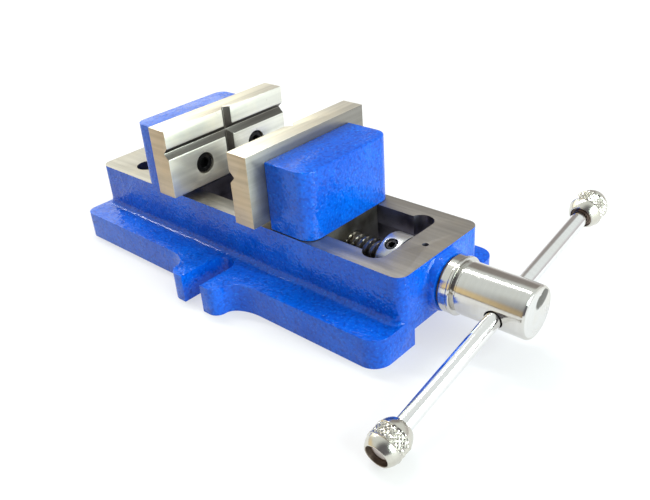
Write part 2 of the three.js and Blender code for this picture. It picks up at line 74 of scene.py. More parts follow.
# %% A socket that Python can do sums with
class Wire:
    """One output socket in a finish's node tree."""

    def __init__(self, finish, socket):
        self.finish = finish
        self.socket = socket

    def sum(self, operation, first, *others):
        values = dict(enumerate((first, *others)))
        return self.finish.wire("ShaderNodeMath", {"operation": operation}, values)

    def __add__(self, other):
        return self.sum("ADD", self, other)

    __radd__ = __add__

    def __mul__(self, other):
        return self.sum("MULTIPLY", self, other)

    __rmul__ = __mul__

    def __sub__(self, other):
        return self.sum("SUBTRACT", self, other)

    def __rsub__(self, other):
        return self.sum("SUBTRACT", other, self)

    def __truediv__(self, other):
        return self.sum("DIVIDE", self, other)

    def __pow__(self, other):
        return self.sum("POWER", self, other)

    def bigger(self, other):
        return self.sum("MAXIMUM", self, other)

    def rise(self, low, high):
        """0 below low, 1 above high and a smooth step between."""
        settings = {"interpolation_type": "SMOOTHSTEP"}
        ends = {"Value": self, "From Min": low, "From Max": high}
        return self.finish.wire("ShaderNodeMapRange", settings, ends)


# %% [markdown]
# A finish is a material that starts as an empty Principled surface. Its one `node` method makes any
# node: the settings go in first, because they decide which sockets a node has, then the values or
# links. The textures read object coordinates, so the grain stays on its piece when the piece moves.


# %% One place that makes every node
class Nodes:
    """A node tree, with one method that makes any node."""

    def __init__(self, tree):
        self.tree = tree
        self.tree.nodes.clear()

    def node(self, kind, settings=None, inputs=None):
        made = self.tree.nodes.new(kind)
        for name, value in (settings or {}).items():
            setattr(made, name, value)
        for name, value in (inputs or {}).items():
            self.feed(made.inputs[name], value)
        return made

    def feed(self, socket, value):
        if isinstance(value, Wire):
            self.tree.links.new(value.socket, socket)
        elif isinstance(value, tuple) and len(socket.default_value) == 4:
            socket.default_value = (*value, 1.0)[:4]
        else:
            socket.default_value = value

    def wire(self, kind, settings=None, inputs=None, output=0):
        return Wire(self, self.node(kind, settings, inputs).outputs[output])

    def parts(self, vector):
        """The three numbers of a vector, as wires."""
        split = self.node("ShaderNodeSeparateXYZ", {}, {0: vector})
        return [Wire(self, split.outputs[i]) for i in range(3)]

    def along(self, vector, direction):
        """How far a vector reaches along a fixed direction."""
        return self.wire("ShaderNodeVectorMath", {"operation": "DOT_PRODUCT"},
                         {0: vector, 1: tuple(direction)}, "Value")

    def blend(self, share, first, second):
        """A colour that goes from first to second as share goes from 0 to 1."""
        settings = {"data_type": "RGBA", "clamp_factor": True}
        return self.wire("ShaderNodeMix", settings, {0: share, 6: first, 7: second}, 2)


# %% The finish class
class Finish(Nodes):
    """A procedural material around one Principled surface."""

    def __init__(self, name, **plain):
        self.material = bpy.data.materials.new(name)
        self.material.use_nodes = True
        super().__init__(self.material.node_tree)
        self.surface = self.node("ShaderNodeBsdfPrincipled", {}, plain)
        output = self.node("ShaderNodeOutputMaterial")
        self.tree.links.new(self.surface.outputs["BSDF"], output.inputs["Surface"])
        self.place = self.wire("ShaderNodeTexCoord", output="Object")

    def drawn_out(self, axis, across, along):
        """The place on the piece, multiplied less along one axis, so that a grain runs that way."""
        factors = tuple(along if i == axis else across for i in range(3))
        return self.wire("ShaderNodeMapping", {}, {"Vector": self.place, "Scale": factors})

    def noise(self, scale, detail=2.0, roughness=0.5, place=None):
        values = {"Vector": place or self.place, "Scale": scale, "Detail": detail,
                  "Roughness": roughness}
        return self.wire("ShaderNodeTexNoise", {}, values)

    def rings(self, distance, detail):
        """A grain that changes with one number only."""
        values = {"W": distance, "Scale": 1.0, "Detail": detail}
        return self.wire("ShaderNodeTexNoise", {"noise_dimensions": "1D"}, values)

    def cells(self, scale):
        values = {"Vector": self.place, "Scale": scale}
        return self.wire("ShaderNodeTexVoronoi", {"feature": "SMOOTH_F1"}, values)

    def relief(self, height, depth, strength):
        """A Bump node: height runs from 0 to 1, depth is its size in metres."""
        values = {"Height": height, "Distance": depth, "Strength": strength}
        return self.wire("ShaderNodeBump", {}, values)

    def wear(self, **inputs):
        """Feed the surface's sockets by name, as in Base_Color=hue, and hand back the material."""
        for name, value in inputs.items():
            self.feed(self.surface.inputs[name.replace("_", " ")], value)
        return self.material


print("a finish knows how to make:", ", ".join(n for n in vars(Finish) if not n.startswith("_")))

# %% [markdown]
# ## The paint
# The casting is sprayed with a glossy cobalt enamel over sand-cast iron. The paint bridges the grain of
# the sand, which leaves low pebbles about a millimetre apart with a shiny skin: each pebble catches its
# own spark of light. Cells give the pebbles and a softer noise breaks their pattern. The valleys between
# them are painted darker as painted shade, and their crests are painted a light cyan as painted
# highlights. Modelling the pebbles would take millions of faces, so they are relief.


# %% Cobalt paint over a cast skin
def cobalt_paint():
    paint = Finish("cobalt_paint", IOR=1.40)
    wander = paint.noise(140.0, 3.0, 0.6)
    pebbles = 1 - paint.cells(820.0)
    grit = 1 - paint.cells(1500.0)
    swell = paint.noise(60.0, 2.0)
    height = pebbles * wander.rise(0.30, 0.65) * 0.8 + grit * 0.12 + swell * 0.6
    thick = paint.noise(34.0, 3.0, 0.55).rise(0.3, 0.72)
    hue = paint.blend(thick, (0.0010, 0.084, 0.57), (0.0012, 0.125, 0.74))
    # Painted shade: the valleys between the pebbles are blended towards a dark blue.
    hue = paint.blend(pebbles.rise(0.28, 0.58) * 0.46 + 0.54, (0.001, 0.030, 0.27), hue)
    # Painted highlights: the crests of the pebbles and the grit are blended towards a light cyan.
    crest = (pebbles * 0.65 + grit * 0.35).rise(0.68, 0.86)
    hue = paint.blend(crest * 0.45, hue, (0.010, 0.30, 0.95))
    rough = 0.09 + grit * 0.06 + wander * 0.05
    normal = paint.relief(height, 0.0005, 0.6)
    return paint.wear(Base_Color=hue, Roughness=rough, Normal=normal)


# %% [markdown]
# ## Ground and turned steel
# A surface grinder leaves fine straight lines, a lathe leaves rings. Both are the same finish with the
# grain drawn out one way: noise that is squeezed across the lines and stretched along them. A thin,
# uneven film of oil warms the colour. `axis` is the one that the lines run along: 0 for X, 1 for Y.


# %% Straight-grained steel
def lined_steel(name, axis, tint, rough, marks=1.0, metal=1.0):
    steel = Finish(name, Metallic=metal)
    lines = steel.noise(1.0, 3.0, 0.65, steel.drawn_out(axis, across=2600.0, along=26.0))
    bands = steel.noise(1.0, 2.0, 0.5, steel.drawn_out(axis, across=420.0, along=9.0))
    film = steel.noise(45.0, 4.0, 0.6)
    spots = steel.noise(330.0, 3.0, 0.7).rise(0.64, 0.80)
    dull = tuple(c * 0.80 for c in tint)
    warm = (tint[0] * 1.06, tint[1], tint[2] * 0.90)
    hue = steel.blend(bands.rise(0.3, 0.7), dull, tint)
    hue = steel.blend(film.rise(0.45, 0.75) * 0.6, hue, warm)
    hue = steel.blend(spots * 0.35, hue, tuple(c * 0.45 for c in tint))
    normal = steel.relief(lines + bands * 0.5, 0.00004 * marks, 0.6)
    return steel.wear(Base_Color=hue, Normal=normal,
                      Roughness=rough + lines * 0.10 + film * 0.08 + spots * 0.15)


# %% [markdown]
# On a turned piece the lines are rings, so the grain is a noise of one number only: the distance along
# the axis on the round sides, and the radius on the flat faces. The two numbers are added, because one
# of them hardly changes wherever the other one does the work. A dark oval can also be painted on an end
# face as a painted reflection of something dark in the room: it is given by two directions across the end
# face, each with how far off the oval lies and how far it reaches, in metres.


# %% Turned steel, with its rings round any axis
def turned_steel(name, centre, axis, tint=(0.68, 0.67, 0.645), rough=0.07, marks=1.0, oil=0.25,
                 painted_reflection=None):
    steel = Finish(name, Metallic=1.0)
    shifted = steel.wire("ShaderNodeVectorMath", {"operation": "SUBTRACT"},
                         {0: steel.place, 1: tuple(centre)})
    along = steel.along(shifted, axis)
    reach = steel.wire("ShaderNodeVectorMath", {"operation": "LENGTH"}, {0: shifted}, "Value")
    radius = (reach * reach - along * along).bigger(0.0) ** 0.5
    distance = along + radius * 1.37
    rings = steel.rings(distance * 5200.0, 3.0)
    bands = steel.rings(distance * 620.0, 2.0)
    film = steel.noise(60.0, 4.0, 0.6)
    smudge = steel.noise(210.0, 3.0, 0.65).rise(0.55, 0.75)
    oiled = (tint[0] * 0.86, tint[1] * 0.78, tint[2] * 0.62)
    hue = steel.blend(bands * 0.35, tint, tuple(c * 0.8 for c in tint))
    hue = steel.blend(film.rise(0.45, 0.7) * oil, hue, oiled)
    # Painted reflection: a dark oval blended into the colour, its edge broken by noise.
    if painted_reflection:
        across, down = ((steel.along(shifted, way) - off) / half for way, off, half in painted_reflection)
        spread = (across ** 2.0 + down ** 2.0) ** 0.5
        dark_reflection = 1 - (spread + smudge * 0.25 + film * 0.4).rise(0.98, 1.22)
        hue = steel.blend(dark_reflection * 0.93, hue, (0.085, 0.085, 0.07))
    normal = steel.relief(rings, 0.000012 * marks, 0.7)
    return steel.wear(Base_Color=hue, Normal=normal,
                      Roughness=rough + rings * 0.04 + smudge * 0.07 + film * 0.03)


# %% [markdown]
# ## Dark finishes
# The cap screws are black oxide: a thin dark skin, a little brown where it is worn, with a dull sheen.
# The nut and the inside of the slot are bare iron that has been machined once and oiled since. The bush
# is bronze. A darker brown copy of the same iron lines the inside of the knobs' bore and end recess as
# painted shade. A mask painted by hand would fit one piece only, so each finish is a noise that wears,
# pools or tarnishes one colour towards another.


# %% Black oxide, oiled iron and bronze
def black_oxide():
    skin = Finish("black_oxide", Metallic=0.85)
    grain = skin.noise(900.0, 3.0, 0.6)
    worn = skin.noise(240.0, 3.0, 0.6).rise(0.52, 0.72)
    hue = skin.blend(worn * 0.7, (0.018, 0.018, 0.020), (0.075, 0.062, 0.052))
    return skin.wear(Base_Color=hue, Roughness=0.34 + grain * 0.2,
                     Normal=skin.relief(grain, 0.00003, 0.5))


def oiled_iron_and_shade(name, light, deep):
    iron = Finish(name, Metallic=0.9)
    tool = iron.noise(1.0, 2.0, 0.6, iron.drawn_out(1, across=900.0, along=60.0))
    pores = iron.noise(1700.0, 3.0, 0.7).rise(0.60, 0.72)
    pool = iron.noise(55.0, 3.0, 0.6).rise(0.35, 0.7)
    hue = iron.blend(pool, light, deep)
    hue = iron.blend(pores * 0.7, hue, (0.02, 0.018, 0.016))
    height = tool * 0.5 - pores * 0.8
    return iron.wear(Base_Color=hue, Roughness=0.48 - pool * 0.18 + pores * 0.2,
                     Normal=iron.relief(height, 0.00006, 0.6))


def turned_bronze():
    bronze = Finish("turned_bronze", Metallic=1.0)
    rings = bronze.noise(1.0, 2.0, 0.6, bronze.drawn_out(1, across=60.0, along=3000.0))
    tarnish = bronze.noise(140.0, 4.0, 0.6).rise(0.4, 0.7)
    hue = bronze.blend(tarnish * 0.6, (0.40, 0.26, 0.12), (0.16, 0.10, 0.06))
    return bronze.wear(Base_Color=hue, Roughness=0.28 + tarnish * 0.2 + rings * 0.05,
                       Normal=bronze.relief(rings, 0.00002, 0.5))


# %% [markdown]
# ## Places
# Everything on the screw turns about one line, and the tommy bar lies across it, tilted so that its
# lower knob rests on the bench. Both lines are read from the frame: the screw's from its joint, and the
# bar's from the joint it slides along.

# %% The screw's axis and the bar's axis
joints = {joint["name"]: joint for joint in frame["joints"]}
SCREW_AT = Vector(joints["screw_turn"]["pos_m"])
SCREW_AXIS = Vector(joints["screw_turn"]["axis"])
BAR_AXIS = Vector(joints["handle_slide"]["axis"]).normalized()
bar_low, bar_high = box_mm("tommy_bar")
BAR_AT = Vector((SCREW_AT.x, (bar_low.y + bar_high.y) / 2 * MM, SCREW_AT.z))
SCREW_MIDDLE = (SCREW_AT.x / MM, 0, SCREW_AT.z / MM)
BAR_MIDDLE = BAR_AT / MM
print("screw axis through", [round(v / MM, 1) for v in SCREW_AT])
print("bar tilts by", round(math.degrees(math.atan2(BAR_AXIS.z, BAR_AXIS.x)), 1), "degrees")

# %% One of each finish
# Where the painted reflection on the end of the screw's head lies: two directions across the end face,
# each with its offset and reach in metres.
REFLECTION_ACROSS = (Vector((0.86, 0, 0.50)), 0.0058, 0.0062)
REFLECTION_DOWN = (Vector((-0.50, 0, 0.86)), 0.0031, 0.0037)
on_screw = {"centre": SCREW_AT, "axis": SCREW_AXIS}
on_bar = {"centre": BAR_AT, "axis": BAR_AXIS}
finishes = {
    "paint": cobalt_paint(),
    "deck": lined_steel("ground_deck", 1, (0.40, 0.375, 0.345), 0.34),
    "plate": lined_steel("ground_plate", 0, (0.82, 0.775, 0.67), 0.33, metal=0.9),
    "grip": lined_steel("ground_face", 0, (0.86, 0.84, 0.77), 0.38, metal=0.75),
    # Painted shade: the plates' back is a darker copy of the ground steel.
    "back": lined_steel("shaded_plate_back", 0, (0.31, 0.295, 0.27), 0.27, metal=0.95),
    # Painted shade: the milled grooves are painted near black.
    "groove": lined_steel("shaded_milled_groove", 0, (0.13, 0.12, 0.11), 0.34, marks=1.5),
    # The sawn ends: coarse marks and a rough face, and a tan tint that is a painted reflection of the
    # room.
    "sawn": lined_steel("sawn_end_tan_reflection", 1, (0.56, 0.46, 0.33), 0.42, marks=2.0, metal=0.8),
    "turned": turned_steel("turned_steel", **on_screw),
    "head_end": turned_steel("head_end", **on_screw, tint=(0.80, 0.80, 0.79), rough=0.2,
                             painted_reflection=(REFLECTION_ACROSS, REFLECTION_DOWN)),
    "collar": turned_steel("collar_steel", **on_screw, tint=(0.60, 0.60, 0.60), rough=0.32),
    "thread": turned_steel("oiled_thread", **on_screw, tint=(0.25, 0.22, 0.19), rough=0.26, oil=0.9),
    "bar": turned_steel("plated_bar", **on_bar, tint=(0.88, 0.88, 0.89), rough=0.08, marks=0.5, oil=0.1),
    "knob": turned_steel("knob_steel", **on_bar, tint=(0.66, 0.64, 0.58), rough=0.16),
    "bar_end": turned_steel("bar_end", **on_bar, tint=(0.72, 0.66, 0.63), rough=0.45, marks=3.0),
    "screw": black_oxide(),
    "iron": oiled_iron_and_shade("oiled_iron_and_shade", (0.23, 0.215, 0.20), (0.09, 0.075, 0.06)),
    # Painted shade: the inside of the knobs' bore and end recess is a dark brown iron.
    "recess": oiled_iron_and_shade("knob_recess_painted_shade", (0.26, 0.20, 0.16), (0.10, 0.07, 0.055)),
    "slot": oiled_iron_and_shade("slot_iron", (0.19, 0.185, 0.235), (0.075, 0.065, 0.085)),
    "bronze": turned_bronze(),
}
print(len(finishes), "finishes:", ", ".join(sorted(finishes)))

# %% [markdown]
# ## Making shapes
# Castings are outlines raised to a height, joined and cut by booleans while their faces are still large
# and flat. Turned pieces are profiles swept round an axis. Both are written in millimetres and turned
# into metres as the mesh is made.


# %% Outlines and prisms
def arc(centre, radius, start, end, steps=10):
    """Points on an arc, from start to end degrees; radius is one number or one for each axis."""
    rx, ry = radius if isinstance(radius, tuple) else (radius, radius)
    angles = [math.radians(start + (end - start) * i / steps) for i in range(steps + 1)]
    return [(centre[0] + rx * math.cos(a), centre[1] + ry * math.sin(a)) for a in angles]


def rounded_box(half, y0, y1, front, rear, steps=10):
    """A rectangle in plan, symmetric about x = 0, with the radii of its front and rear corners. A
    radius of 0 leaves a square corner."""
    def corner(x, y, radius, start):
        return arc((x, y), radius, start, start + 90, steps) if radius > 0 else [(x, y)]
    return (corner(half - front, y0 + front, front, -90) + corner(half - rear, y1 - rear, rear, 0)
            + corner(-half + rear, y1 - rear, rear, 90)
            + corner(-half + front, y0 + front, front, 180))


def make_object(name, points, faces, finish=None):
    data = bpy.data.meshes.new(name)
    data.from_pydata([tuple(c * MM for c in p) for p in points], [], faces)
    piece = bpy.data.objects.new(name, data)
    bpy.context.scene.collection.objects.link(piece)
    if finish:
        data.materials.append(finishes[finish])
    return piece


def lofted(name, rings):
    """A closed skin through rings of points, all with as many points, capped at both ends."""
    count = len(rings[0])
    points = [point for ring in rings for point in ring]
    faces = [tuple(reversed(range(count)))]
    for level in range(len(rings) - 1):
        low, high = level * count, (level + 1) * count
        for i in range(count):
            j = (i + 1) % count
            faces.append((low + i, low + j, high + j, high + i))
    faces.append(tuple(range((len(rings) - 1) * count, len(rings) * count)))
    return make_object(name, points, faces)


def prism(name, outline, z0, z1):
    return lofted(name, [[(x, y, z) for x, y in outline] for z in (z0, z1)])


def block(name, low, high):
    outline = [(low[0], low[1]), (high[0], low[1]), (high[0], high[1]), (low[0], high[1])]
    return prism(name, outline, low[2], high[2])


print("an arc of four steps:", [tuple(round(c, 2) for c in point) for point in arc((0, 0), 1, 0, 90, 4)])


# %% [markdown]
# A turned piece is a profile of (radius, distance along the axis). A profile that closes on itself makes
# a ring, and one that starts and ends on the axis makes a solid. `frame_on` gives the three directions
# of the piece, so the same function turns the screw, the upright holes and the tilted knobs.


# %% Turned pieces
def frame_on(axis):
    """Two directions square to axis, so that (side, up, axis) is a right-handed set."""
    axis = Vector(axis).normalized()
    side = axis.orthogonal().normalized() if abs(axis.z) > 0.99 else Vector(UP).cross(axis)
    side.normalize()
    return side, axis.cross(side), axis


def turned(name, profile, at, axis, steps=64, finish=None, ripple=None):
    """Sweep a profile round an axis through `at`, in mm. ripple(index, angle, radius, along) may
    give a new radius for a point, for threads and knurls."""
    side, up, axis = frame_on(axis)
    at = Vector(at)
    closed = profile[0] == profile[-1]
    stations = profile[:-1] if closed else profile
    points, rows = [], []
    for index, (radius, along) in enumerate(stations):
        if radius == 0:
            rows.append([len(points)] * steps)
            points.append(at + axis * along)
            continue
        rows.append(list(range(len(points), len(points) + steps)))
        for step in range(steps):
            angle = 2 * math.pi * step / steps
            r = ripple(index, angle, radius, along) if ripple else radius
            points.append(at + axis * along + (side * math.cos(angle) + up * math.sin(angle)) * r)
    faces = []
    for first, second in zip(rows, rows[1:] + ([rows[0]] if closed else [])):
        for step in range(steps):
            after = (step + 1) % steps
            face = [first[step], first[after], second[after], second[step]]
            corners = [v for i, v in enumerate(face) if v != face[i - 1]]
            if len(corners) > 2:
                faces.append(tuple(corners))
    piece = make_object(name, points, faces, finish)
    face_outward(piece)
    return piece


def drill(name, radius, start, stop, at, axis, steps):
    """A cutter for a round hole, from start to stop along axis; 6 steps make it a hexagon."""
    return turned(name, [(0, start), (radius, start), (radius, stop), (0, stop)], at, axis, steps)


def face_outward(piece):
    mesh = bmesh.new()
    mesh.from_mesh(piece.data)
    bmesh.ops.recalc_face_normals(mesh, faces=mesh.faces)
    mesh.to_mesh(piece.data)
    mesh.free()


# %% [markdown]
# Cutting and joining use Blender's exact boolean, which keeps flat faces whole. The result is baked at
# once, so no modifier is left waiting. Sharp edges are then found by the angle between their faces and
# rounded by a bevel whose width is chosen edge by edge: a casting has soft edges where the paint is, and
# a crisp one where the grinder ran.


# %% Cutting, joining and rounding
def settle(piece):
    """Apply what the modifiers do and drop them."""
    bpy.context.view_layer.update()
    graph = bpy.context.evaluated_depsgraph_get()
    done = bpy.data.meshes.new_from_object(piece.evaluated_get(graph))
    done.name = piece.name
    piece.modifiers.clear()
    piece.data = done
    return piece


def combine(piece, operation, tools):
    for tool in tools:
        change = piece.modifiers.new(operation, "BOOLEAN")
        change.operation = operation
        change.solver = "EXACT"
        change.object = tool
        settle(piece)
        bpy.data.objects.remove(tool)
    return piece


def cut(piece, *tools):
    return combine(piece, "DIFFERENCE", tools)


def join(piece, *tools):
    return combine(piece, "UNION", tools)


def merge_flat(piece, degrees=0.5):
    """Weld doubled points and make one face of each flat stretch."""
    mesh = bmesh.new()
    mesh.from_mesh(piece.data)
    bmesh.ops.remove_doubles(mesh, verts=mesh.verts, dist=0.00001)
    bmesh.ops.dissolve_limit(mesh, angle_limit=math.radians(degrees), verts=mesh.verts,
                             edges=mesh.edges, delimit={"MATERIAL"})
    mesh.to_mesh(piece.data)
    mesh.free()
    return piece


def round_edges(piece, width, segments=3, sharper=32.0, choose=None):
    """Bevel the edges whose faces meet at more than `sharper` degrees. choose(middle in mm) gives a
    share of the width, from 0 to 1."""
    mesh = bmesh.new()
    mesh.from_mesh(piece.data)
    layer = mesh.edges.layers.float.new("bevel_weight_edge")
    marked = 0
    for edge in mesh.edges:
        if len(edge.link_faces) == 2 and edge.calc_face_angle(0) > math.radians(sharper):
            middle = (edge.verts[0].co + edge.verts[1].co) / 2 / MM
            edge[layer] = choose(middle) if choose else 1.0
            marked += edge[layer] > 0
    mesh.to_mesh(piece.data)
    mesh.free()
    bevel = piece.modifiers.new("round", "BEVEL")
    bevel.limit_method = "WEIGHT"
    bevel.width = width * MM
    bevel.segments = segments
    bevel.use_clamp_overlap = True
    bevel.miter_outer = "MITER_ARC"
    bevel.harden_normals = False
    settle(piece)
    return marked


def smooth(piece, degrees=30.0):
    for face in piece.data.polygons:
        face.use_smooth = True
    piece.data.set_sharp_from_angle(angle=math.radians(degrees))
    return piece


def finish_faces(piece, names, choose):
    """Give the piece several finishes; choose(middle in mm, normal) gives a name for each face."""
    piece.data.materials.clear()
    for name in names:
        piece.data.materials.append(finishes[name])
    for face in piece.data.polygons:
        face.material_index = names.index(choose(face.center / MM, face.normal))
    return piece


def seat(piece, body, slot, *nodes):
    """Say which body the piece rides on and which nodes it stands for. The slot argument is not used."""
    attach(piece, body)
    if nodes:
        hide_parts(*nodes)
    print(f"{piece.name}: {len(piece.data.polygons)} faces, rides on {body}")
    return piece


# %% [markdown]
# ## The base casting
# One piece of cast iron: a flange with an open-ended lug at each side, the body that carries the two
# rails, and the fixed jaw's wall. It was cast, painted, and then the guideway was ground, which cut the
# paint away and left a crisp edge. Its outline is drawn once with the lugs in it, so the long flares
# stay smooth, and the body is lofted so that it can spread into the flange with a fillet. Cutters reach
# past the iron by the overcut, because a boolean goes wrong where two faces lie in one plane.

# %% The base's own sizes
base_low, base_high = box_mm("base_casting")
fixed_low, fixed_high = box_mm("fixed_jaw_plate")
moving_high = box_mm("moving_jaw_plate")[1]
collar_low, collar_high = box_mm("thrust_collar")
LUG_HALF = base_high.x
REAR = base_high.y
FRONT = -REAR
BOSS_FACE = base_low.y
JAW_TOP = base_high.z
DECK = 38.0
BODY_HALF, BODY_CORNER = 30.0, 5.5
FLANGE_HALF, FLANGE_TOP, FLANGE_FILLET = 46.6, 14.8, 3.5
FLANGE_FRONT_CORNER, FLANGE_REAR_CORNER = 9.0, 6.0
LUG_MIDDLE, LUG_LENGTH, LUG_FLARE = -3.5, 34.0, 16.0
LUG_SLOT, LUG_SLOT_DEPTH, LUG_CORNER = 13.8, 26.0, 5.5
SLOT_HALF, CHANNEL_HALF, RAIL_UNDERSIDE = 19.0, 23.0, 28.0
WALL_FRONT = fixed_high.y + 0.05
WALL_REAR = WALL_FRONT + 26.1
WALL_FOOT = 30.0
SLOT_REAR = WALL_FRONT - 5.4
POCKET_FRONT = FRONT + 17.3
POCKET_HALF, POCKET_LENGTH, POCKET_CORNER = 23.0, 12.2, 5.9
FOOT_CHANNEL_HALF, FOOT_CHANNEL_TOP, TIE_HALF = 20.7, 8.5, 7.0
BOSS_RADIUS, BOSS_BELOW_DECK, BORE_RADIUS = 14.0, 0.7, 8.3
OIL_HOLE_RADIUS, OIL_HOLE_Y = 1.5, FRONT + 9.0
REAR_HOLE_X, REAR_HOLE_Y, REAR_HOLE_RADIUS = 15.3, REAR - 25.0, 4.5
REAR_SEAT_RADIUS, REAR_SEAT_DEPTH = 6.5, 9.0
OVERCUT = 2.0
print("base", round(2 * LUG_HALF, 1), "over the lugs, jaw top at", round(JAW_TOP, 1))


# %% Its outline with the lugs
def foot_half():
    """The right-hand half of the flange in plan, from the front to the rear."""
    corner = LUG_HALF - LUG_CORNER
    reach = corner - FLANGE_HALF
    radius = LUG_SLOT / 2
    near, far = LUG_MIDDLE - LUG_LENGTH / 2, LUG_MIDDLE + LUG_LENGTH / 2
    slot_end = (LUG_HALF - LUG_SLOT_DEPTH + radius, LUG_MIDDLE)
    return (
        arc((FLANGE_HALF - FLANGE_FRONT_CORNER, FRONT + FLANGE_FRONT_CORNER), FLANGE_FRONT_CORNER,
            -90, 0)
        + arc((corner, near - LUG_FLARE), (reach, LUG_FLARE), 180, 90, 12)
        + arc((corner, near + LUG_CORNER), LUG_CORNER, -90, 0, 8)[1:]
        + [(LUG_HALF, LUG_MIDDLE - radius)] + arc(slot_end, radius, -90, -270, 18)
        + [(LUG_HALF, LUG_MIDDLE + radius)]
        + arc((corner, far - LUG_CORNER), LUG_CORNER, 0, 90, 8)[:-1]
        + arc((corner, far + LUG_FLARE), (reach, LUG_FLARE), -90, -180, 12)
        + arc((FLANGE_HALF - FLANGE_REAR_CORNER, REAR - FLANGE_REAR_CORNER), FLANGE_REAR_CORNER,
              0, 90)
    )


def body_rings():
    """The body from inside the flange up to the deck, spreading into the flange at its foot."""
    levels = [(FLANGE_TOP - 1.0, FLANGE_FILLET)]
    for i in range(8):
        angle = math.radians(90 * i / 7)
        levels.append((FLANGE_TOP + FLANGE_FILLET * (1 - math.cos(angle)),
                       FLANGE_FILLET * (1 - math.sin(angle))))
    levels.append((DECK, 0.0))
    return [[(x, y, z) for x, y in rounded_box(BODY_HALF + out, FRONT, REAR, BODY_CORNER + out * 0.6,
                                               BODY_CORNER + out * 0.6)] for z, out in levels]


right = foot_half()
left = [(-x, y) for x, y in reversed(right)]
base = prism("base", right + left, 0.0, FLANGE_TOP)
print("outline of", len(right + left), "points")

# %% Join the body, the fixed jaw's wall and the boss
ROOT = FRONT + OVERCUT
boss = turned("boss", [
    (0, ROOT), (BOSS_RADIUS + 1.6, ROOT), (BOSS_RADIUS + 1.6, FRONT - 0.01),
    (BOSS_RADIUS + 0.9, FRONT - 0.3), (BOSS_RADIUS + 0.3, FRONT - 0.9), (BOSS_RADIUS, FRONT - 1.6),
    (BOSS_RADIUS, BOSS_FACE + 1.2), (BOSS_RADIUS - 0.35, BOSS_FACE + 0.35),
    (BOSS_RADIUS - 1.2, BOSS_FACE), (0, BOSS_FACE),
], SCREW_MIDDLE, SCREW_AXIS)
cut(boss, block("level", (-30, FRONT - 20, DECK - BOSS_BELOW_DECK), (30, FRONT + 20, DECK + 20)))
wall = prism("wall", rounded_box(BODY_HALF, WALL_FRONT, WALL_REAR, 0, BODY_CORNER), WALL_FOOT, JAW_TOP)
join(base, lofted("body", body_rings()), wall, boss)
print("body, wall and boss joined:", len(base.data.polygons), "faces")

# %% Cut the slot, the pocket and the holes
SLOT_FLOOR, SLOT_OPEN = 5.0, DECK + 2 * OVERCUT
pocket = rounded_box(POCKET_HALF, POCKET_FRONT, POCKET_FRONT + POCKET_LENGTH, POCKET_CORNER,
                     POCKET_CORNER)
cut(
    base,
    block("slot", (-SLOT_HALF, POCKET_FRONT + POCKET_CORNER, SLOT_FLOOR),
          (SLOT_HALF, SLOT_REAR, SLOT_OPEN)),
    prism("pocket", pocket, SLOT_FLOOR, SLOT_OPEN),
    block("channel", (-CHANNEL_HALF, POCKET_FRONT, -OVERCUT), (CHANNEL_HALF, SLOT_REAR, RAIL_UNDERSIDE)),
    block("foot_channel", (-FOOT_CHANNEL_HALF, FRONT - 9, -OVERCUT),
          (FOOT_CHANNEL_HALF, REAR + 9, FOOT_CHANNEL_TOP)),
    drill("bore", BORE_RADIUS, BOSS_FACE - 1, POCKET_FRONT + 1, SCREW_MIDDLE, SCREW_AXIS, 64),
    drill("oil_hole", OIL_HOLE_RADIUS, 30, DECK + OVERCUT, (0, OIL_HOLE_Y, 0), UP, 24),
    *[drill("rear_hole", REAR_HOLE_RADIUS, 0, DECK + OVERCUT, (x, REAR_HOLE_Y, 0), UP, 40)
      for x in (-REAR_HOLE_X, REAR_HOLE_X)],
    *[drill("rear_seat", REAR_SEAT_RADIUS, DECK - REAR_SEAT_DEPTH, DECK + OVERCUT,
            (x, REAR_HOLE_Y, 0), UP, 40) for x in (-REAR_HOLE_X, REAR_HOLE_X)],
)
join(base, block("tie", (-CHANNEL_HALF - 1, -TIE_HALF, 0),
                 (CHANNEL_HALF + 1, TIE_HALF, FOOT_CHANNEL_TOP)))
merge_flat(base)
print("the casting has", len(base.data.polygons), "flat faces before its edges are rounded")


# %% Soft cast edges, crisp ground ones
def in_slot(middle, past):
    """Is a place in the slot? `past` is how far beyond its two ends still counts."""
    return abs(middle.x) < CHANNEL_HALF + 0.5 and POCKET_FRONT - past < middle.y < SLOT_REAR + past


def base_edge(middle):
    """How much of the full rounding an edge gets."""
    on_deck = abs(middle.z - DECK) < 0.05
    at_wall = abs(middle.y - WALL_FRONT) < 0.05
    if on_deck or at_wall or in_slot(middle, 0.5):
        return 0.22
    return 0.4 if middle.z < 0.05 else 1.0


rounded = round_edges(base, 0.95, 4, choose=base_edge)
print("rounded", rounded, "edges of the base")


# %% Paint outside, ground deck, oiled iron inside
def base_finish(middle, normal):
    beside_hole = math.hypot(abs(middle.x) - REAR_HOLE_X, middle.y - REAR_HOLE_Y) < REAR_SEAT_RADIUS + 0.2
    beside_oiler = math.hypot(middle.x, middle.y - OIL_HOLE_Y) < OIL_HOLE_RADIUS + 0.5
    if normal.z > 0.75 and abs(middle.z - DECK) < 0.32 and middle.y > BOSS_FACE + 5.5:
        return "deck"
    if normal.z < -0.9 and middle.z < 0.1:
        return "deck"
    return "slot" if in_slot(middle, 0.1) or beside_hole or beside_oiler else "paint"


finish_faces(base, ["paint", "deck", "slot"], base_finish)
smooth(base)
seat(base, "base", "painted_casting", "base_casting")

# %% [markdown]
# ## The moving jaw
# A plain cast block whose two corners on the handle's side are rounded, painted all over. It stands a
# hair above the rails and is bolted from below to the nut, so its only machined faces are the one where
# the plate seats and the underside. It is a plan raised to a height, like the base.

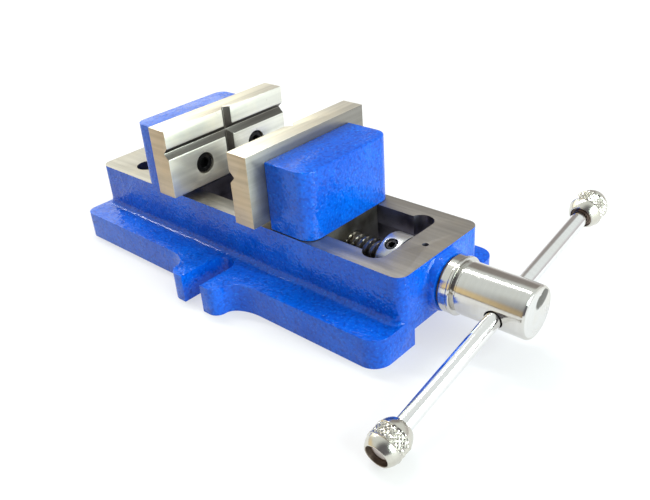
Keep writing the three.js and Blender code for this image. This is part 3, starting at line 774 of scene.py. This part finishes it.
# %% The moving jaw
jaw_low, jaw_high = box_mm("moving_jaw")
JAW_CORNER, JAW_CORNER_STEPS = 7.2, 14
jaw_plan = rounded_box(jaw_high.x, jaw_low.y, jaw_high.y, JAW_CORNER, 0, JAW_CORNER_STEPS)
jaw = prism("jaw_block", jaw_plan, jaw_low.z, jaw_high.z)


def jaw_edge(middle):
    return 0.25 if middle.z < jaw_low.z + 0.05 or middle.y > jaw_high.y - 0.05 else 1.0


round_edges(jaw, 0.8, 4, choose=jaw_edge)
finish_faces(jaw, ["paint", "deck"], lambda middle, normal: "deck" if normal.z < -0.9 else "paint")
smooth(jaw)
seat(jaw, "jaw", "painted_casting", "moving_jaw")

# %% [markdown]
# ## The jaw plates
# Two bars of ground steel. Each has a level V groove for small rounds laid flat and an upright one for
# rounds stood on end, and two counterbored holes. The same function makes both: only the side that
# the cutters come from changes. The gripping face, the back and the top were ground one by one, the
# ends were left as sawn and the grooves as milled, so each of them has its own finish. Three of these
# finishes also carry painted light: the back is a darker copy of the steel as painted shade, the grooves
# are painted near black as painted shade, and the ends have a tan tint that is a painted reflection of
# the room on top of their coarse sawn marks.

# %% Grooved plates
GROOVE_HALF, GROOVE_DEPTH, GROOVE_BELOW_TOP = 3.0, 3.0, 12.0
PLATE_SCREW_X, PLATE_SCREW_BELOW_TOP = 18.0, 24.0
COUNTERBORE_RADIUS, COUNTERBORE_DEPTH, CLEARANCE_RADIUS, CLEARANCE_DEPTH = 5.5, 6.8, 3.3, 20.0


def groove(name, start, stop, middle, face, way, level):
    """A V-shaped cutter pressed into a plate's face, along X if it is level and else along Z."""
    wide, deep = GROOVE_HALF * 1.2, GROOVE_DEPTH
    vee = [(-wide, -deep * 0.2), (wide, -deep * 0.2), (0, deep)]
    if level:
        rings = [[(x, face + way * b, middle + a) for a, b in vee] for x in (start, stop)]
    else:
        rings = [[(middle + a, face + way * b, z) for a, b in vee] for z in (start, stop)]
    cutter = lofted(name, rings)
    face_outward(cutter)
    return cutter


def jaw_plate(name, node, face, way, body):
    """`face` is where the gripping face lies, and `way` (1 or -1) points from it into the steel."""
    low, high = box_mm(node)
    plate = block(name, low, high)
    tools = [
        groove("level", low.x - OVERCUT, high.x + OVERCUT, high.z - GROOVE_BELOW_TOP, face, way, True),
        groove("upright", low.z - OVERCUT, high.z + OVERCUT, 0.0, face, way, False),
    ]
    for x in (-PLATE_SCREW_X, PLATE_SCREW_X):
        at = (x, face, high.z - PLATE_SCREW_BELOW_TOP)
        for radius, depth in ((COUNTERBORE_RADIUS, COUNTERBORE_DEPTH),
                              (CLEARANCE_RADIUS, CLEARANCE_DEPTH)):
            tools.append(drill("hole", radius, -OVERCUT, depth, at, (0, way, 0), 48))
    cut(plate, *tools)
    merge_flat(plate)
    round_edges(plate, 0.35, 2)

    def plate_finish(middle, normal):
        # The groove flanks get the near-black steel, which is painted shade.
        if max(abs(n) for n in normal) < 0.8 and abs(middle.y - face) < GROOVE_DEPTH + 0.1:
            in_level = abs(middle.z - high.z + GROOVE_BELOW_TOP) < GROOVE_HALF
            if in_level or abs(middle.x) < GROOVE_HALF:
                return "groove"
        # The ends get the sawn finish, whose tan tint is a painted reflection.
        if abs(normal.x) > 0.8 and abs(middle.x) > high.x - 0.6:
            return "sawn"
        # The back gets the darker steel, which is painted shade.
        if abs(normal.y) > 0.8:
            return "grip" if abs(middle.y - face) < 1.0 else "back"
        return "plate"

    finish_faces(plate, ["plate", "grip", "back", "groove", "sawn"], plate_finish)
    smooth(plate, 25)
    return seat(plate, body, "ground_steel", node)


FIXED_FACE, MOVING_FACE = fixed_low.y, moving_high.y
jaw_plate("fixed_plate", "fixed_jaw_plate", FIXED_FACE, 1, "base")
jaw_plate("moving_plate", "moving_jaw_plate", MOVING_FACE, -1, "jaw")
print("jaws open by", round(FIXED_FACE - MOVING_FACE, 1), "mm")

# %% [markdown]
# ## Cap screws
# A socket head cap screw is turned with a small chamfer on its rim, knurled round the side, and its
# hexagon socket is punched in with a chamfered mouth. The knurl is fine straight ribs, made by letting
# the head's radius ripple as it is swept.


# %% Socket head cap screws
SHANK_RADIUS, SHANK_LENGTH, CAP_RADIUS, CAP_HEIGHT, KEY = 3.0, 18.0, 5.0, 6.0, 5.0
CAP_RIM, CAP_RIBS, RIB_DEPTH = 0.5, 28, 0.18


def cap_screw(name, at, axis, body, node):
    """`at` is the middle of the head's underside and `axis` points out of the head."""
    profile = [
        (0, -SHANK_LENGTH), (SHANK_RADIUS - 0.5, -SHANK_LENGTH), (SHANK_RADIUS, -SHANK_LENGTH + 0.7),
        (SHANK_RADIUS, 0.0), (CAP_RADIUS - 0.2, 0.0), (CAP_RADIUS, 0.25),
        (CAP_RADIUS, CAP_HEIGHT * 0.5), (CAP_RADIUS, CAP_HEIGHT - CAP_RIM),
        (CAP_RADIUS - CAP_RIM, CAP_HEIGHT), (0, CAP_HEIGHT),
    ]

    def ribbed(index, angle, radius, along):
        on_side = radius == CAP_RADIUS
        return radius - RIB_DEPTH / 2 * (1 + math.cos(CAP_RIBS * angle)) if on_side else radius

    piece = turned(name, profile, at, axis, 2 * CAP_RIBS, ripple=ribbed)
    top = Vector(at) + Vector(axis) * CAP_HEIGHT
    socket = drill("socket", KEY / math.sqrt(3), -CAP_HEIGHT * 0.55, 1, top, axis, 6)
    mouth = turned("mouth", [(0, -0.45), (KEY / 2 - 0.05, -0.45), (KEY / 2 + 0.75, 0.4), (0, 0.4)],
                   top, axis, 40)
    cut(piece, socket, mouth)
    piece.data.materials.append(finishes["screw"])
    smooth(piece)
    return seat(piece, body, "black_oxide_screw", node)


cap_seat, cap_z = COUNTERBORE_DEPTH - 0.05, fixed_high.z - PLATE_SCREW_BELOW_TOP
for x, word in ((-PLATE_SCREW_X, "left"), (PLATE_SCREW_X, "right")):
    for jaw_name, face, way, body in (("fixed", FIXED_FACE, 1, "base"),
                                      ("moving", MOVING_FACE, -1, "jaw")):
        cap_screw(f"{jaw_name}_screw_{word}", (x, face + way * cap_seat, cap_z), (0, -way, 0), body,
                  f"{jaw_name}_plate_screw_{word}")

# %% [markdown]
# ## The lead screw
# One bar of steel, turned in steps: a long head for the bar, a journal that runs in the bush, and a
# left-hand trapezoidal thread. The thread is swept as one skin whose radius depends on the angle and
# the distance along the axis together: that single number, the phase, says whether a point is on a
# crest, on a flank or in the root. The depth fades to nothing at both ends, as a cut thread runs out.

# %% Turn the screw
screw_low, screw_high = box_mm("lead_screw")
washer_low, washer_high = box_mm("thrust_washer")
HEAD_RADIUS, JOURNAL_RADIUS, THREAD_RADIUS, THREAD_DEPTH, PITCH = 12.0, 6.0, 7.0, 1.9, 4.0
THREAD_ROOT = THREAD_RADIUS - THREAD_DEPTH
CREST, FLANK = 0.36, 0.16
HEAD_FRONT, HEAD_REAR = screw_low.y, washer_low.y - 0.05
THREAD_FROM, THREAD_TO = collar_high.y + 1.5, screw_high.y
THREAD_END = THREAD_TO - 1
ROWS_PER_TURN, STEPS = 14, 64
BAR_RADIUS = 3.75
BAR_HOLE_RADIUS = BAR_RADIUS + 0.6


def thread_radius(index, angle, radius, along):
    if not THREAD_FROM + 0.01 < along < THREAD_END - 0.01:
        return radius
    phase = (along / PITCH + angle / (2 * math.pi)) % 1.0
    if phase < CREST:
        height = 1.0
    elif phase < CREST + FLANK:
        height = 1 - (phase - CREST) / FLANK
    elif phase < 1 - FLANK:
        height = 0.0
    else:
        height = (phase - 1 + FLANK) / FLANK
    fade = min(1.0, (along - THREAD_FROM) / 2.0, (THREAD_END - along) / 1.5)
    return THREAD_RADIUS - THREAD_DEPTH * (1 - height * max(fade, 0.0))


thread_rows = int((THREAD_END - THREAD_FROM) / PITCH * ROWS_PER_TURN)
screw_profile = [
    (0, HEAD_FRONT), (HEAD_RADIUS - 1.3, HEAD_FRONT), (HEAD_RADIUS - 0.55, HEAD_FRONT + 0.2),
    (HEAD_RADIUS - 0.1, HEAD_FRONT + 0.8), (HEAD_RADIUS, HEAD_FRONT + 1.5),
    (HEAD_RADIUS, HEAD_REAR - 2.0), (HEAD_RADIUS - 0.25, HEAD_REAR - 1.7),
    (HEAD_RADIUS - 0.8, HEAD_REAR - 1.5), (HEAD_RADIUS - 0.8, HEAD_REAR),
    (JOURNAL_RADIUS, HEAD_REAR), (JOURNAL_RADIUS, THREAD_FROM - 0.8), (THREAD_ROOT, THREAD_FROM),
]
screw_profile += [(THREAD_ROOT, THREAD_FROM + (THREAD_END - THREAD_FROM) * (i + 1) / thread_rows)
                  for i in range(thread_rows)]
screw_profile += [(THREAD_ROOT - 0.8, THREAD_TO), (0, THREAD_TO)]
screw = turned("lead_screw_body", screw_profile, SCREW_MIDDLE, SCREW_AXIS, STEPS, ripple=thread_radius)
cut(screw, drill("bar_hole", BAR_HOLE_RADIUS, -20, 20, BAR_MIDDLE, BAR_AXIS, 48))
print("thread of", thread_rows, "rows at", ROWS_PER_TURN, "to a turn")


# %% Break the edge of the cross hole and finish the screw
def hole_edge(middle):
    out = (middle - BAR_MIDDLE).cross(BAR_AXIS).length
    rim = abs(out - BAR_HOLE_RADIUS) < 0.25 and middle.y < HEAD_REAR
    return 1.0 if rim else 0.0


round_edges(screw, 0.7, 2, choose=hole_edge)


def screw_finish(middle, normal):
    if middle.y < HEAD_FRONT + 0.05:
        return "head_end"
    return "thread" if middle.y > collar_low.y else "turned"


finish_faces(screw, ["turned", "thread", "head_end"], screw_finish)
smooth(screw, 28)
seat(screw, "screw", "screw_steel", "lead_screw")

# %% [markdown]
# ## Washers and collar
# The other pieces on the screw are plain rings. Their profiles carry the small chamfers that catch the
# light. The outer thrust washer has a fine groove turned behind its front lip. The collar is drilled
# and tapped for its set screw, which leans over so that a key can reach it between the rails.


# %% Rings on the screw
JOURNAL_BORE = JOURNAL_RADIUS + 0.15


def ring(name, node, edge, finish, profile=None):
    """A ring on the journal with its edges broken, unless it brings its own profile."""
    low, high = box_mm(node)
    outer, inner, y0, y1 = (high.x - low.x) / 2, JOURNAL_BORE, low.y, high.y
    profile = profile or [
        (inner, y0 + edge), (inner + edge, y0), (outer - edge, y0), (outer - edge * 0.3, y0 + edge * 0.3),
        (outer, y0 + edge), (outer, y1 - edge), (outer - edge * 0.3, y1 - edge * 0.3),
        (outer - edge, y1), (inner + edge, y1), (inner, y1 - edge), (inner, y0 + edge),
    ]
    return smooth(turned(name, profile, SCREW_MIDDLE, SCREW_AXIS, 72, finish))


w0, w1, wr = washer_low.y, washer_high.y, (washer_high.x - washer_low.x) / 2
thrust_ring = ring("thrust_ring", "thrust_washer", 0.5, "turned", [
    (JOURNAL_BORE, w0), (wr - 0.9, w0), (wr - 0.25, w0 + 0.15), (wr, w0 + 0.5), (wr, w0 + 1.1),
    (wr - 0.5, w0 + 1.3), (wr - 0.5, w0 + 1.7), (wr - 0.15, w0 + 1.9), (wr - 0.15, w1 - 0.4),
    (wr - 0.5, w1), (JOURNAL_BORE, w1), (JOURNAL_BORE, w0),
])
seat(thrust_ring, "base", "turned_steel", "thrust_washer")
inner_ring = ring("inner_ring", "inner_washer", 0.2, "collar")
seat(inner_ring, "base", "washer_steel", "inner_washer")
collar = ring("collar", "thrust_collar", 0.8, "collar")

# %% The collar's tapped hole and set screw
SET_SCREW_LEAN, SET_SCREW_RADIUS, SET_SCREW_KEY = math.radians(24), 3.0, 3.0
lean = Vector((-math.sin(SET_SCREW_LEAN), 0, math.cos(SET_SCREW_LEAN)))
collar_middle = Vector((0, (collar_low.y + collar_high.y) / 2, SCREW_AT.z / MM))
collar_radius = (collar_high.x - collar_low.x) / 2
cut(collar, turned("tapping", [(0, 0), (SET_SCREW_RADIUS + 0.15, 0),
                               (SET_SCREW_RADIUS + 0.15, collar_radius - 0.6),
                               (SET_SCREW_RADIUS + 0.7, collar_radius + 2), (0, collar_radius + 2)],
                   collar_middle, lean, 40))
smooth(collar)
seat(collar, "screw", "turned_steel", "thrust_collar")

set_top, set_foot = collar_radius - 0.8, JOURNAL_RADIUS + 0.3
set_screw = turned("set_screw", [
    (0, set_foot), (SET_SCREW_RADIUS - 0.9, set_foot), (SET_SCREW_RADIUS, set_foot + 0.9),
    (SET_SCREW_RADIUS, set_top - 0.5), (SET_SCREW_RADIUS - 0.5, set_top), (0, set_top),
], collar_middle, lean, 40)
cut(set_screw, drill("key_hole", SET_SCREW_KEY / math.sqrt(3), set_top - 3, set_top + 1,
                     collar_middle, lean, 6))
set_screw.data.materials.append(finishes["screw"])
smooth(set_screw)
seat(set_screw, "screw", "black_oxide_screw", "collar_set_screw")

# %% [markdown]
# ## The tommy bar and its knobs
# The bar is bright plated rod. Each knob is turned barrel-shaped, with a belt of diamond knurling that a
# pair of wheels pressed in, two plain cones, and a recess at the outer end where the bar's end shows.
# The knurl is two sets of crossing ridges: where both are high a small pyramid stands, so the radius is
# the smaller of the two waves.

# %% The bar
KNOB_LENGTH, KNOB_RADIUS, KNOB_BELT, KNOB_FACE, KNOB_RECESS = 15.0, 7.6, 6.4, 5.6, 2.0
KNURL_TEETH, KNURL_ROWS, KNURL_DEPTH = 24, 28, 0.55
BAR_HALF, BAR_OFFSET = 85.0, -5.4
rod_end = BAR_HALF - KNOB_RECESS
rod_start, rod_stop = BAR_OFFSET - rod_end, BAR_OFFSET + rod_end
rod = turned("bar", [
    (0, rod_start), (BAR_RADIUS - 0.5, rod_start), (BAR_RADIUS - 0.1, rod_start + 0.25),
    (BAR_RADIUS, rod_start + 0.7), (BAR_RADIUS, rod_stop - 0.7), (BAR_RADIUS - 0.1, rod_stop - 0.25),
    (BAR_RADIUS - 0.5, rod_stop), (0, rod_stop)], BAR_MIDDLE, BAR_AXIS, 64)
finish_faces(rod, ["bar", "bar_end"],
             lambda middle, normal: "bar_end" if abs(normal.dot(BAR_AXIS)) > 0.9 else "bar")
smooth(rod)
seat(rod, "handle", "plated_bar", "tommy_bar")


# %% The knurled knobs
def knob(word, side):
    half, belt = KNOB_LENGTH / 2, KNOB_BELT / 2
    inner = BAR_RADIUS + 0.12
    cone = [(t, KNOB_FACE + (KNOB_RADIUS - 0.25 - KNOB_FACE) * t + 0.35 * math.sin(math.pi * t))
            for t in (0.04, 0.25, 0.5, 0.75, 0.96)]
    reach = half - belt - 0.2
    profile = [(inner, -half + 0.8), (KNOB_FACE - 0.9, -half + 0.8), (KNOB_FACE - 0.7, -half + 0.15),
               (KNOB_FACE - 0.55, -half), (KNOB_FACE - 0.15, -half), (KNOB_FACE, -half + 0.15)]
    profile += [(radius, -half + 0.15 + reach * t) for t, radius in cone]
    start = len(profile)
    profile += [(KNOB_RADIUS, -belt + 2 * belt * i / KNURL_ROWS) for i in range(KNURL_ROWS + 1)]
    stop = len(profile)
    profile += [(radius, half - 0.15 - reach * t) for t, radius in reversed(cone)]
    profile += [(KNOB_FACE, half - 0.15), (KNOB_FACE - 0.15, half), (KNOB_FACE - 0.55, half),
                (KNOB_FACE - 0.75, half - 0.2), (KNOB_FACE - 1.0, half - KNOB_RECESS - 0.3),
                (inner, half - KNOB_RECESS - 0.5), (inner, -half + 0.8)]

    def knurled(index, angle, radius, along):
        if not start <= index < stop:
            return radius
        turn, pitch = angle / (2 * math.pi) * KNURL_TEETH, 2 * math.pi * KNOB_RADIUS / KNURL_TEETH
        waves = [abs(((turn + way * along / pitch) % 1.0) * 2 - 1) for way in (1, -1)]
        edge = min(1.0, (belt - abs(along)) / 0.7)
        return radius - 0.02 - KNURL_DEPTH * (1 - min(waves)) * max(edge, 0.0)

    at = BAR_MIDDLE + BAR_AXIS * (BAR_OFFSET + side * (BAR_HALF - half))
    piece = turned(f"knob_{word}", profile, at, BAR_AXIS * side, 8 * KNURL_TEETH, None, knurled)

    def knob_finish(middle, normal):
        # Faces close to the bar get the dark brown finish, which is painted shade.
        radius = (middle - at).cross(BAR_AXIS).length
        return "recess" if radius < KNOB_FACE - 0.62 else "knob"

    finish_faces(piece, ["knob", "recess"], knob_finish)
    smooth(piece, 22)
    return seat(piece, "handle", "turned_steel", f"bar_knob_{word}")


knob("left", -1)
knob("right", 1)

# %% [markdown]
# ## Pieces that mostly hide
# The nut, its two screws and their spring washers show only from below, and the bush shows as a thin
# line. Their packed shapes are right as they are, so they keep them and only get a finish.

# %% Finishes for the hidden pieces
hidden = {"slide_nut": "iron", "front_bush": "bronze"}
for word in ("left", "right"):
    hidden[f"nut_screw_{word}"] = "screw"
    hidden[f"nut_lock_washer_{word}"] = "collar"
for node, finish in hidden.items():
    shown = frame["nodes"][node]
    shown.data.materials.clear()
    shown.data.materials.append(finishes[finish])
    print(node, "keeps its shape and is finished in", finish)

# %% [markdown]
# ## The floor
# A pale table that glows a little, as a light table does, so that the shadows stay faint. It is one
# large flat face: it reaches so far that its end is the horizon in every view.


# %% The floor
def table_finish():
    table = Finish("white_table", **{"Emission Strength": 0.57})
    grain = table.noise(30.0, 3.0)
    shade = table.blend(grain, (0.34, 0.34, 0.345), (0.36, 0.36, 0.36))
    return table.wear(Base_Color=shade, Roughness=0.7 + grain * 0.05,
                      Emission_Color=table.blend(grain, (0.99, 0.99, 1.0), (1.0, 1.0, 1.0)))


FLOOR_HALF = 6000.0
corners = [(x * FLOOR_HALF, y * FLOOR_HALF, 0) for x, y in ((-1, -1), (1, -1), (1, 1), (-1, 1))]
floor = make_object("floor", corners, [(0, 1, 2, 3)])
floor.data.materials.append(table_finish())
print("the floor is", round(2 * FLOOR_HALF * MM), "m wide")

# %% [markdown]
# ## The room
# Polished steel shows the room more than itself, so the room is painted in the sky: pale overhead, tan
# low down on the left, dim at the rear right and dark at the near left, which the screw's head and the
# paint's shaded sides mirror. Low at the rear left there is a dark stretch, and it draws the dark
# streaks along the bar and the head. Each patch is a soft spot round one direction.

# %% The sky
sky = bpy.data.worlds.new("sky")
sky.use_nodes = True
room = Nodes(sky.node_tree)
direction = room.wire("ShaderNodeTexCoord", output="Generated")
height = room.parts(direction)[2]


def patch(towards, start, full):
    """0 away from a direction and 1 close to it; start and full are cosines of the angle to it."""
    return room.along(direction, Vector(towards).normalized()).rise(start, full)


tan_wall = patch((-0.85, 0.5, 0.0), 0.35, 0.9) * (1 - height.rise(0.25, 0.50))
rear_right = patch((0.75, 0.46, 0.48), 0.90, 0.975) * 0.85
near_left = patch((-0.76, -0.58, 0.28), 0.36, 0.84) * 0.92
low_streak = patch((-0.80, 0.60, 0.0), 0.90, 0.97) * (1 - height.rise(0.02, 0.07))
tone = room.blend(height.rise(0.0, 0.55), (0.62, 0.58, 0.58), (0.86, 0.90, 0.87))
for share, colour in ((tan_wall, (1.05, 0.83, 0.46)), (rear_right, (0.26, 0.22, 0.20)),
                      (near_left, (0.10, 0.09, 0.11)), (low_streak, (0.12, 0.11, 0.12))):
    tone = room.blend(share, tone, colour)
backdrop = room.node("ShaderNodeBackground", {}, {"Color": tone, "Strength": 1.0})
sky_output = room.node("ShaderNodeOutputWorld")
room.tree.links.new(backdrop.outputs["Background"], sky_output.inputs["Surface"])
bpy.context.scene.world = sky
bpy.context.scene.view_settings.view_transform = "Standard"
print("the sky is made of", len(sky.node_tree.nodes), "nodes")

# %% [markdown]
# ## The lamps
# Three soft lamps do the rest: a cool one by the handle, a weak window behind, and a long bright tube
# overhead. The tube is narrow and twisted, so it draws a white streak along the screw's head and a line
# of sparks along the fillet at the body's foot. A lamp is given by how bright its face looks, so its
# size can change without changing what the steel mirrors.


# %% Lamps
def lamp(name, towards, distance, size, radiance, tint=(1.0, 1.0, 1.0), twist=0.0):
    """A soft lamp in the direction `towards`, turned by `twist` degrees in its own plane."""
    light = bpy.data.lights.new(name, "AREA")
    light.shape = "RECTANGLE"
    light.size, light.size_y = size
    light.energy = radiance * math.pi * size[0] * size[1]
    light.color = tint
    holder = bpy.data.objects.new(name, light)
    holder.location = Vector(towards).normalized() * distance
    facing = (-holder.location).to_track_quat("-Z", "Y").to_matrix()
    holder.rotation_euler = (facing @ Matrix.Rotation(math.radians(twist), 3, "Z")).to_euler()
    bpy.context.scene.collection.objects.link(holder)
    print(name, "of", round(light.energy, 1), "W")


lamp("handle_lamp", (0.05, -0.92, 0.38), distance=1.3, size=(0.9, 0.8), radiance=8.4,
     tint=(0.84, 1.0, 0.96))
lamp("rear_window", (0.30, 0.86, 0.36), distance=1.4, size=(1.10, 0.65), radiance=1.2,
     tint=(0.97, 1.0, 0.74))
lamp("overhead_tube", (0.19, 0.88, 1.36), distance=1.63, size=(0.13, 1.35), radiance=28.0, twist=33)

# %% [markdown]
# ## The camera
# It stands at the handle's end, to the left, and looks down at the moving jaw, so that the top, one long
# side and the screw's head all show. Its places are in metres in the vise's own frame.

# %% The camera
CAMERA_AT = Vector((-0.2387, -0.26805, 0.20522))
LOOK_AT = Vector((-0.01915, -0.05556, 0.03))
CAMERA_ROLL = math.radians(-4.475)
lens = bpy.data.cameras.new("camera")
lens.lens = 42.17
lens.sensor_width = 36.0
lens.clip_start = 0.01
camera = bpy.data.objects.new("camera", lens)
facing = (LOOK_AT - CAMERA_AT).to_track_quat("-Z", "Y").to_matrix().to_4x4()
camera.matrix_world = Matrix.Translation(CAMERA_AT) @ facing @ Matrix.Rotation(CAMERA_ROLL, 4, "Z")
bpy.context.scene.collection.objects.link(camera)
bpy.context.scene.camera = camera
print("the camera stands", round((CAMERA_AT - LOOK_AT).length, 2), "m from what it looks at")

# %% [markdown]
